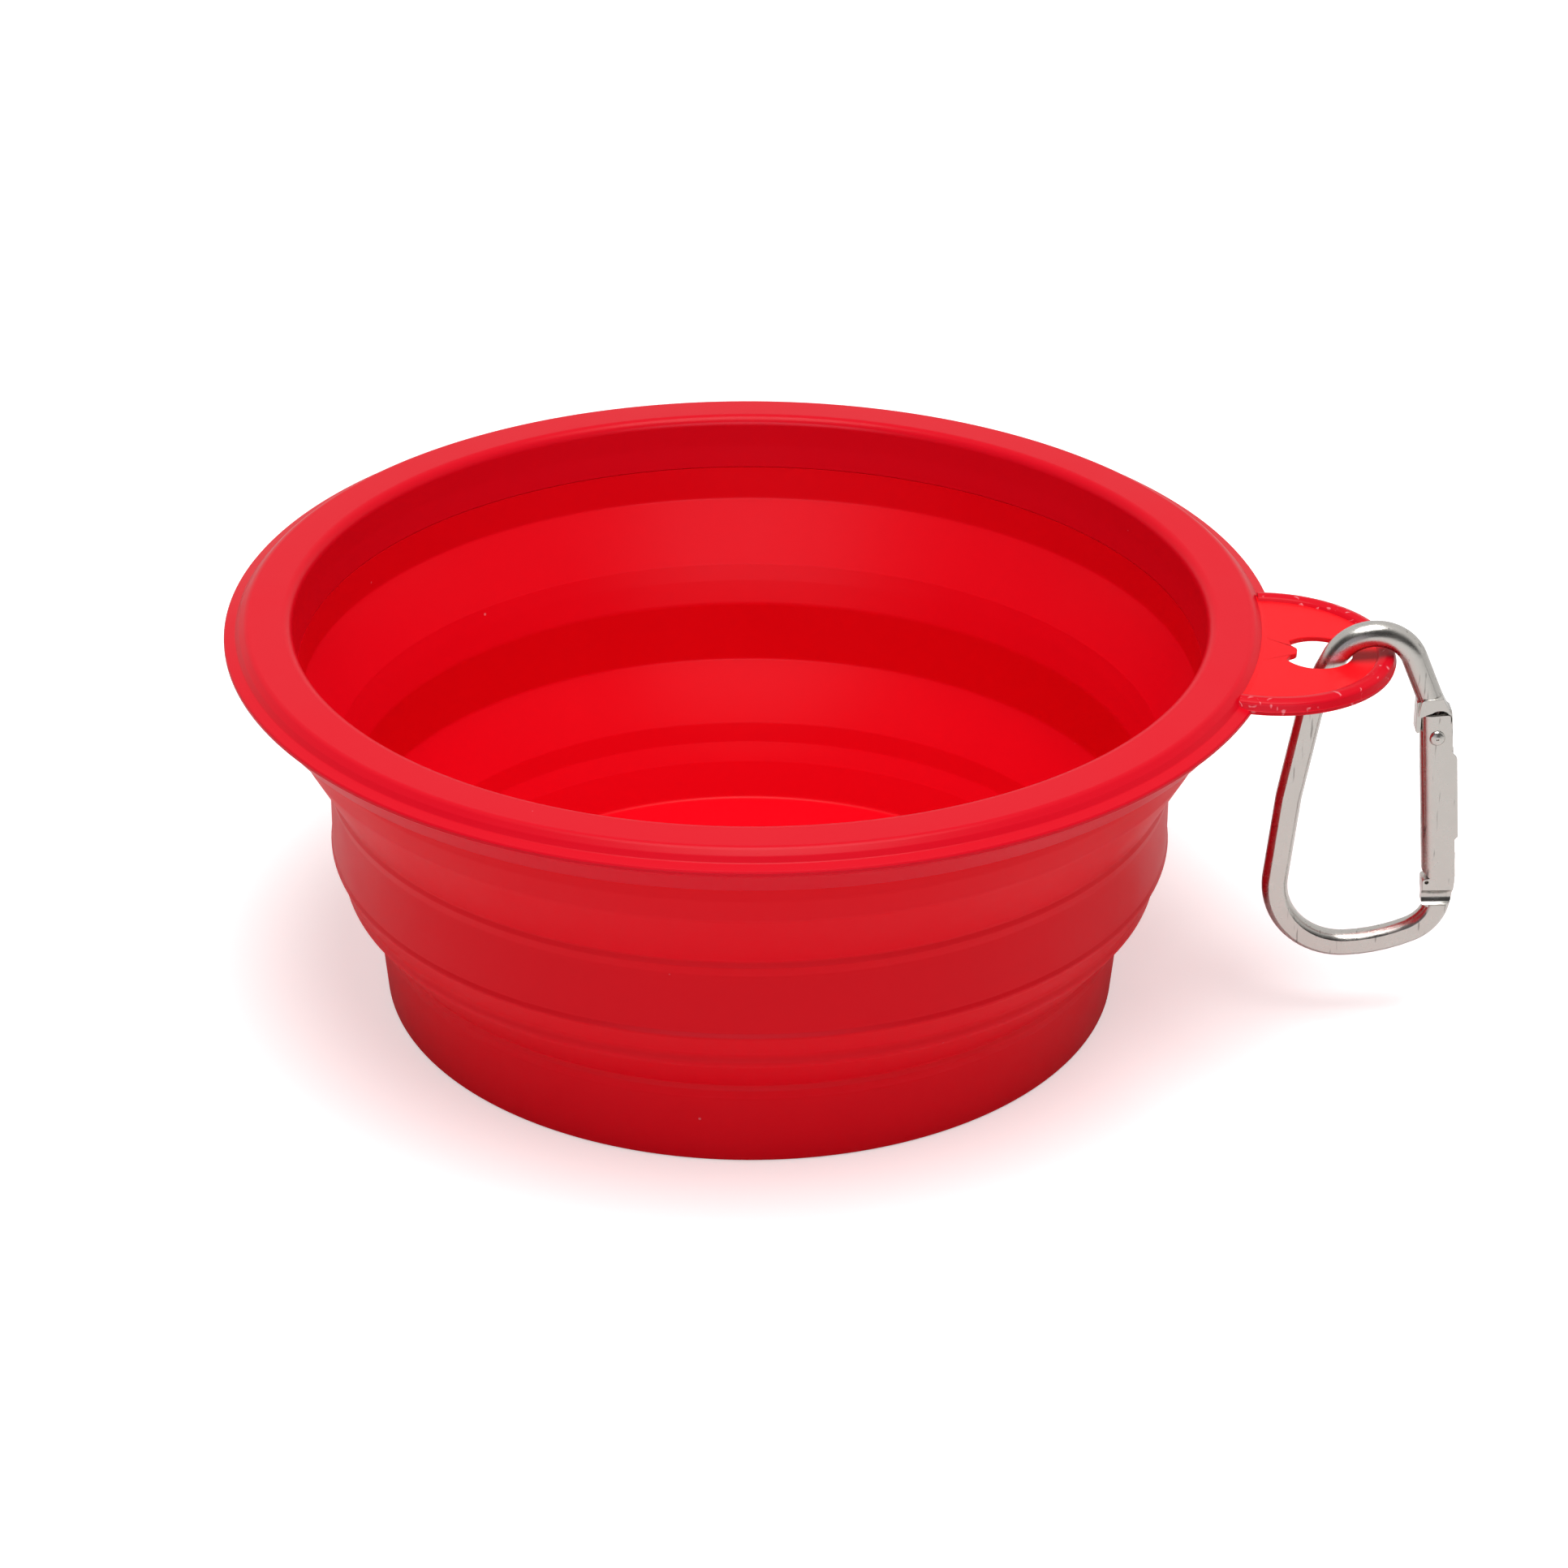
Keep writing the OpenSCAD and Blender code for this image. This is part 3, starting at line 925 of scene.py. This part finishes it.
        # The arc that the gate's upper corners swing in
        piece = combine(piece, boss(pivot, 3.5 * MM, vertices=96), "DIFFERENCE")
        finger = self.milled(pivot, [
            (-2.65, 4.6, 0.2), (-1.98, 4.6, 0.2), (-1.98, 0.6, 0.25), (-2.3, 0.15, 0.2), (-2.6, 0.6, 0.25)],
            1.0 * MM, edge=0.1)
        web = self.milled(pivot, [
            (0.6, 4.3, 0), (1.7, 3.4, 0.1), (1.95, 1.5, 0.5), (2.2, -2.5, 0.3), (1.2, -3.6, 0.3),
            (0.9, -1.05, 0), (-0.9, 0.9, 0.3), (0.3, 3.0, 0.3)], TONGUE)
        eye = boss(pivot, 1.4 * MM, -TONGUE + 0.01 * MM, TONGUE - 0.01 * MM)
        for solid in (finger, web, eye):
            piece = combine(piece, solid, "UNION")
        nose_tongue = self.milled(nose, [
            (-1.2, -2.2, 0), (-2.25, -1.6, 0.2), (-2.4, 1.9, 0.35), (-1.35, 2.15, 0.1), (-1.35, 5.9, 0.3),
            (1.4, 6.0, 0.3), (1.65, 1.5, 0.6), (1.5, -0.6, 0)], TONGUE, edge=0.1)
        hook = boss(nose + Vector((-1.85 * MM, 1.55 * MM, 0)), 0.26 * MM, vertices=24)
        nose_tongue = combine(nose_tongue, hook, "DIFFERENCE")
        piece = combine(piece, nose_tongue, "UNION")

        # On each face, a round pocket above the rivet and a groove across the nose
        for side in (-1, 1):
            low, high = sorted((side * THROUGH, side * 0.5 * MM))
            pocket = boss(pivot + Vector((0.15 * MM, 2.15 * MM, 0)), 1.6 * MM, low, high, vertices=64)
            piece = combine(piece, pocket, "DIFFERENCE")
            groove = boss(Vector((nose.x, nose.y - 0.6 * MM, side * 1.58 * MM)), 1.1 * MM, axis="X")
            piece = combine(piece, groove, "DIFFERENCE")
        piece = soften(piece, 0.05 * MM, angle=50, segments=2)
        stand_up(piece, context)
        material = tumbled_aluminium(context.scene.bowl_colours.aluminium)
        finish(piece, "carabiner_frame_rod", material, "carabiner_frame", smooth=28)
        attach(piece, "carabiner")
        return {"FINISHED"}


class TRAVELBOWL_OT_carabiner_gate(BowlOperator, bpy.types.Operator):
    """Gate: a channel folded from sheet, with two ears and a seat for the spring"""

    bl_idname = "travelbowl.carabiner_gate"
    bl_label = "Carabiner Gate"

    def folded(self, closed_side, open_side, half, radius, low, high):
        """A bar along the gate, rounded at its closed side as the sheet's fold is."""
        line = round_corners(measured_from(0, 0, [
            (closed_side, -half, radius), (open_side, -half, 0), (open_side, half, 0),
            (closed_side, half, radius)]), closed=True)
        bar = slab(line, low * MM, high * MM)
        bar.data.transform(Matrix.Rotation(math.pi / 2, 4, "X"))
        return bar

    def execute(self, context):
        # In millimetres, across and along from the pivot
        sheet = context.scene.carabiner_sizes.sheet / MM
        half, closed_side = 1.7, -1.9
        side = round_corners(measured_from(0, 0, [
            (closed_side, 3.0, 0.5), (1.7, 3.0, 0.4), (1.8, -2.2, 0.5), (2.45, -3.0, 0.3),
            (2.45, -14.1, 0.15), (2.05, -14.5, 0.15), (2.05, -20.0, 0.3), (-0.95, -20.0, 0.15),
            (closed_side, -19.1, 0.15)]), closed=True)
        piece = slab(side, -half * MM, half * MM)
        piece = combine(piece, self.folded(closed_side, 4, half, 1.45, -5, 22), "INTERSECT")
        inner = half - sheet
        channel = self.folded(closed_side + sheet, 5, inner, 1.0, -6, 24)
        seat = slab([Vector((x * MM, y * MM)) for x, y in (
            (-1.8, -14.7), (1.2, -14.7), (1.2, -14.15), (-1.8, -14.15))], -inner * MM, inner * MM)
        channel = combine(channel, seat, "DIFFERENCE")
        piece = combine(piece, channel, "DIFFERENCE")
        piece = combine(piece, boss(Vector((0, 0, 0)), 0.55 * MM, vertices=32), "DIFFERENCE")
        piece = soften(piece, 0.07 * MM, angle=50, segments=2)
        set_on_gate(piece, context)
        material = tumbled_aluminium(context.scene.bowl_colours.aluminium)
        finish(piece, "carabiner_gate_sheet", material, "carabiner_gate", smooth=28)
        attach(piece, "gate")
        return {"FINISHED"}


class TRAVELBOWL_OT_gate_rivet(BowlOperator, bpy.types.Operator):
    """Rivet with two domed heads and the small pit left by the setting tool"""

    bl_idname = "travelbowl.gate_rivet"
    bl_label = "Gate Rivet"

    def execute(self, context):
        head_base = 1.75 * MM
        dome = round_corners(measured_from(0, head_base, [
            (0.5, 0, 0), (0.97, 0, 0.03), (0.97, 0.06, 0.03), (0.78, 0.28, 0.4), (0.3, 0.43, 0.4),
            (0.17, 0.42, 0.03), (0.1, 0.28, 0.03), (0, 0.28, 0)]))
        section = [Vector((p.x, -p.y)) for p in dome[::-1]] + dome
        piece = revolve(section, closed=False, steps=48)
        set_on_gate(piece, context)
        material = tumbled_aluminium(context.scene.bowl_colours.aluminium)
        finish(piece, "gate_rivet_domed", material, "gate_rivet")
        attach(piece, "carabiner")
        return {"FINISHED"}


class TRAVELBOWL_OT_gate_spring(BowlOperator, bpy.types.Operator):
    """Coil spring in the gate's channel"""

    bl_idname = "travelbowl.gate_spring"
    bl_label = "Gate Spring"

    def execute(self, context):
        wire, coil = 0.28 * MM, 0.6 * MM
        turns, steps_each = 20, 18
        length = 12.0 * MM
        begin()
        bpy.ops.mesh.primitive_circle_add(vertices=8, radius=wire / 2, fill_type="NGON")
        piece = bpy.context.object
        bpy.ops.object.mode_set(mode="EDIT")
        bpy.ops.mesh.select_all(action="SELECT")
        bpy.ops.transform.rotate(value=math.pi / 2, orient_axis="X", center_override=(0, 0, 0))
        bpy.ops.transform.translate(value=(coil, 0, 0))
        bpy.ops.object.mode_set(mode="OBJECT")
        change = piece.modifiers.new("Coil", "SCREW")
        change.angle = FULL_TURN * turns
        change.screw_offset = length - wire
        change.steps = steps_each * turns
        change.render_steps = steps_each * turns
        change.use_merge_vertices = False
        bpy.ops.object.modifier_apply(modifier=change.name)
        bpy.ops.object.mode_set(mode="EDIT")
        bpy.ops.mesh.select_all(action="SELECT")
        bpy.ops.mesh.fill_holes(sides=8)
        piece = tidy_surface()
        # From its seat up the gate's channel
        seat = Matrix.Translation((-0.1 * MM, -14.0 * MM, 0))
        piece.data.transform(seat @ Matrix.Rotation(-math.pi / 2, 4, "X"))
        set_on_gate(piece, context)
        material = drawn_spring_wire(context.scene.bowl_colours.spring)
        finish(piece, "gate_spring_coil", material, "gate_spring", smooth=60)
        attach(piece, "gate")
        return {"FINISHED"}


class TRAVELBOWL_OT_stage(BowlOperator, bpy.types.Operator):
    """Pale floor, soft studio lamps, white surroundings and the camera"""

    bl_idname = "travelbowl.stage"
    bl_label = "Stage"

    def floor(self):
        """Matt white paper under the bowl."""
        begin()
        bpy.ops.mesh.primitive_plane_add(size=2.4)
        floor = bpy.context.object
        floor.name = "studio_floor"
        material = bpy.data.materials.new("matt_white_paper")
        material.use_nodes = True
        tree = material.node_tree
        shader = tree.nodes["Principled BSDF"]
        shader.inputs["Roughness"].default_value = 0.9
        shader.inputs["Base Color"].default_value = linear("#F9F9F9")
        # Lifts the paper to white for the camera, and keeps the shadow on it
        path = add_node(tree, "ShaderNodeLightPath")
        lift = add_node(tree, "ShaderNodeMath", {
            0: path.outputs["Is Camera Ray"], 1: 0.5}, operation="MULTIPLY")
        shader.inputs["Emission Color"].default_value = linear("#FFFFFF")
        tree.links.new(lift.outputs[0], shader.inputs["Emission Strength"])
        floor.data.materials.append(material)

    def surroundings(self, scene):
        """White backdrop behind the bowl, and a dim room on the camera's side."""
        world = bpy.data.worlds.new("white_studio")
        scene.world = world
        world.use_nodes = True
        tree = world.node_tree
        backdrop = tree.nodes["Background"]
        backdrop.inputs["Color"].default_value = linear("#FFFFFF")
        way = add_node(tree, "ShaderNodeSeparateXYZ", {
            "Vector": add_node(tree, "ShaderNodeTexCoord").outputs["Generated"]})
        room = add_node(tree, "ShaderNodeMapRange", {
            "Value": way.outputs["Y"], "From Min": -0.45, "From Max": 0.1,
            "To Min": 0.06, "To Max": 0.8}, interpolation_type="SMOOTHSTEP")
        path = add_node(tree, "ShaderNodeLightPath")
        mirrored = add_node(tree, "ShaderNodeMath", {
            0: path.outputs["Is Glossy Ray"], 1: path.outputs["Is Transmission Ray"]}, operation="MAXIMUM")
        light = add_node(tree, "ShaderNodeMix", {
            "Factor": mirrored.outputs[0], "A": 0.28, "B": room.outputs["Result"]})
        strength = add_node(tree, "ShaderNodeMix", {
            "Factor": path.outputs["Is Camera Ray"], "A": light.outputs["Result"], "B": 1.0})
        tree.links.new(strength.outputs["Result"], backdrop.inputs["Strength"])

    def lamp(self, name, place, size, power, colour):
        """A lamp that faces the bowl: a disk, or a rectangle where the size has a height too."""
        data = bpy.data.lights.new(name, "AREA")
        data.shape = "RECTANGLE" if size[1:] else "DISK"
        data.size = size[0]
        data.size_y = size[-1]
        data.energy = power
        data.color = linear(colour)[:3]
        lamp = bpy.data.objects.new(name, data)
        bpy.context.collection.objects.link(lamp)
        lamp.location = place
        aim = Vector((0, 0, 30 * MM)) - Vector(place)
        lamp.rotation_euler = aim.to_track_quat("-Z", "Y").to_euler()
        return lamp

    def mouldings(self):
        """The red pieces, which the gloss strips are set up for."""
        group = bpy.data.collections.new("mouldings")
        for piece in bpy.data.objects:
            if piece.name.startswith(("base_", "lower_", "middle_", "upper_", "rim_", "hanging_")):
                group.objects.link(piece)
        return group

    def camera(self, scene):
        """The photograph's camera, fitted to its ellipses."""
        bearing, height, roll = math.radians(9.1), math.radians(28.43), math.radians(0.37)
        distance = 565.5 * MM
        target = Vector((4.25, 0.68, 26.58)) * MM
        back = Vector((math.sin(bearing) * math.cos(height), -math.cos(bearing) * math.cos(height),
                       math.sin(height)))
        data = bpy.data.cameras.new("camera")
        data.lens = 102.48
        data.sensor_width = 36
        data.clip_start, data.clip_end = 0.01, 50
        camera = bpy.data.objects.new("camera", data)
        bpy.context.collection.objects.link(camera)
        camera.matrix_world = Matrix.Translation(target + back * distance) @ (
            (-back).to_track_quat("-Z", "Y").to_matrix().to_4x4() @ Matrix.Rotation(roll, 4, "Z"))
        scene.camera = camera

    def execute(self, context):
        scene = context.scene
        self.floor()
        self.surroundings(scene)
        self.lamp("overhead_softbox", (0.05, -0.12, 0.85), (0.6,), 6.3, "#FFFFFF")
        self.lamp("front_fill", (-0.1, -1.0, 0.16), (0.8,), 0.75, "#F4F2FF")
        # Strips behind the camera, which only show as soft lines of gloss on the red mouldings
        mouldings = self.mouldings()
        for strip in (
                self.lamp("low_gloss_strip", (0.2, -1.25, 0.24), (1.4, 0.16), 4.0, "#E6DCFF"),
                self.lamp("high_gloss_strip", (0.2, -1.2, 0.52), (1.4, 0.12), 8.0, "#F0E8FF")):
            strip.visible_diffuse = False
            strip.light_linking.receiver_collection = mouldings
        self.camera(scene)
        scene.view_settings.view_transform = "Standard"
        return {"FINISHED"}


class TRAVELBOWL_PT_panel(bpy.types.Panel):
    """Lists the pieces of the bowl and its stage"""

    bl_idname = "TRAVELBOWL_PT_panel"
    bl_label = "Travel Bowl"
    bl_space_type = "VIEW_3D"
    bl_region_type = "UI"
    bl_category = "Travel Bowl"

    def draw(self, context):
        layout = self.layout
        for group in (context.scene.bowl_sizes, context.scene.carabiner_sizes, context.scene.bowl_colours):
            box = layout.box()
            for name in group.bl_rna.properties.keys():
                if name not in {"rna_type", "name"}:
                    box.prop(group, name)
        for operator in PIECES:
            layout.operator(operator.bl_idname)


PIECES = (
    TRAVELBOWL_OT_base_cup, TRAVELBOWL_OT_lower_fold, TRAVELBOWL_OT_middle_ring,
    TRAVELBOWL_OT_upper_fold, TRAVELBOWL_OT_upper_ring, TRAVELBOWL_OT_rim_hoop, TRAVELBOWL_OT_tab,
    TRAVELBOWL_OT_carabiner_frame, TRAVELBOWL_OT_carabiner_gate, TRAVELBOWL_OT_gate_rivet,
    TRAVELBOWL_OT_gate_spring, TRAVELBOWL_OT_stage)
CLASSES = (BowlSizes, CarabinerSizes, BowlColours, *PIECES, TRAVELBOWL_PT_panel)


def register():
    """Registers the classes and adds the settings to the scene."""
    for cls in CLASSES:
        bpy.utils.register_class(cls)
    bpy.types.Scene.bowl_sizes = PointerProperty(type=BowlSizes)
    bpy.types.Scene.carabiner_sizes = PointerProperty(type=CarabinerSizes)
    bpy.types.Scene.bowl_colours = PointerProperty(type=BowlColours)


def unregister():
    """Takes away what register() added."""
    del bpy.types.Scene.bowl_colours
    del bpy.types.Scene.carabiner_sizes
    del bpy.types.Scene.bowl_sizes
    for cls in reversed(CLASSES):
        bpy.utils.unregister_class(cls)


def main():
    """Makes every piece and the stage."""
    register()
    bpy.ops.travelbowl.base_cup()
    bpy.ops.travelbowl.lower_fold()
    bpy.ops.travelbowl.middle_ring()
    bpy.ops.travelbowl.upper_fold()
    bpy.ops.travelbowl.upper_ring()
    bpy.ops.travelbowl.rim_hoop()
    bpy.ops.travelbowl.tab()
    bpy.ops.travelbowl.carabiner_frame()
    bpy.ops.travelbowl.carabiner_gate()
    bpy.ops.travelbowl.gate_rivet()
    bpy.ops.travelbowl.gate_spring()
    bpy.ops.travelbowl.stage()


if __name__ == "__main__":
    main()
